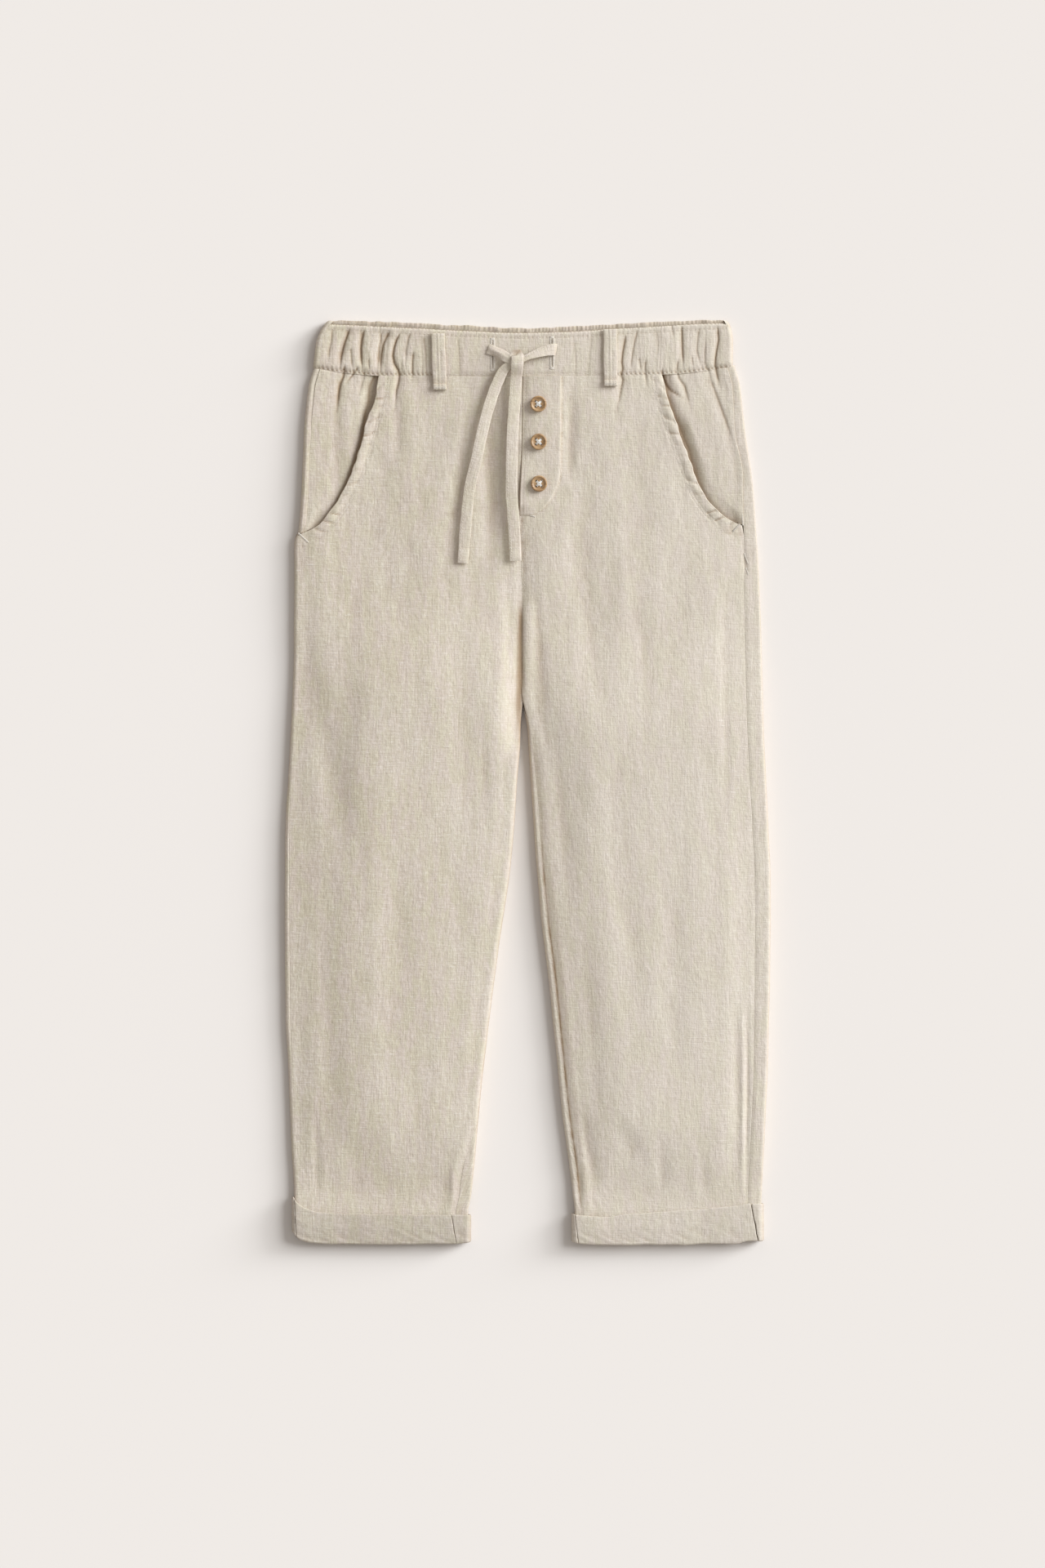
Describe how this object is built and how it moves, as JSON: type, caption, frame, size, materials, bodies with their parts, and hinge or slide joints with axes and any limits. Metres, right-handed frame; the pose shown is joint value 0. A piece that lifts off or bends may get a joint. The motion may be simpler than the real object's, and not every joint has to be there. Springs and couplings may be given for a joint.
{
  "type": "linen drawstring trousers",
  "caption": "Child's pull-on linen trousers laid flat, with a gathered waist, tied drawstring, button-trimmed mock fly, curved pockets and turned-up hems.",
  "frame": {"origin": "middle of the laid-out garment's footprint, on the surface that it lies on", "axes": "+Y up the garment from the hems to the waist, +X to the wearer's left, +Z off the surface; the front faces +Z"},
  "size_m": [0.3329, 0.6347, 0.0124],
  "materials": {
    "linen": "plain-weave oatmeal linen with slubs",
    "tape": "flat self-fabric linen tape",
    "thread": "cream sewing thread",
    "button_wood": "satin turned wood"
  },
  "bodies": {
    "root": {"front_right": "linen", "front_left": "linen", "back_right": "linen", "back_left": "linen", "pocket_bearer_right": "linen", "pocket_bearer_left": "linen", "waistband_front": "linen", "waistband_back": "linen", "turn_up_front_right": "linen", "turn_up_back_right": "linen", "turn_up_front_left": "linen", "turn_up_back_left": "linen", "fly_placket": "linen", "belt_loop_right": "linen", "belt_loop_left": "linen", "button_1": "button_wood", "button_2": "button_wood", "button_3": "button_wood", "drawstring_lead_right": "tape", "drawstring_lead_left": "tape", "drawstring_knot": "tape", "drawstring_tail_right": "tape", "drawstring_tail_left": "tape"}
  },
  "joints": []
}
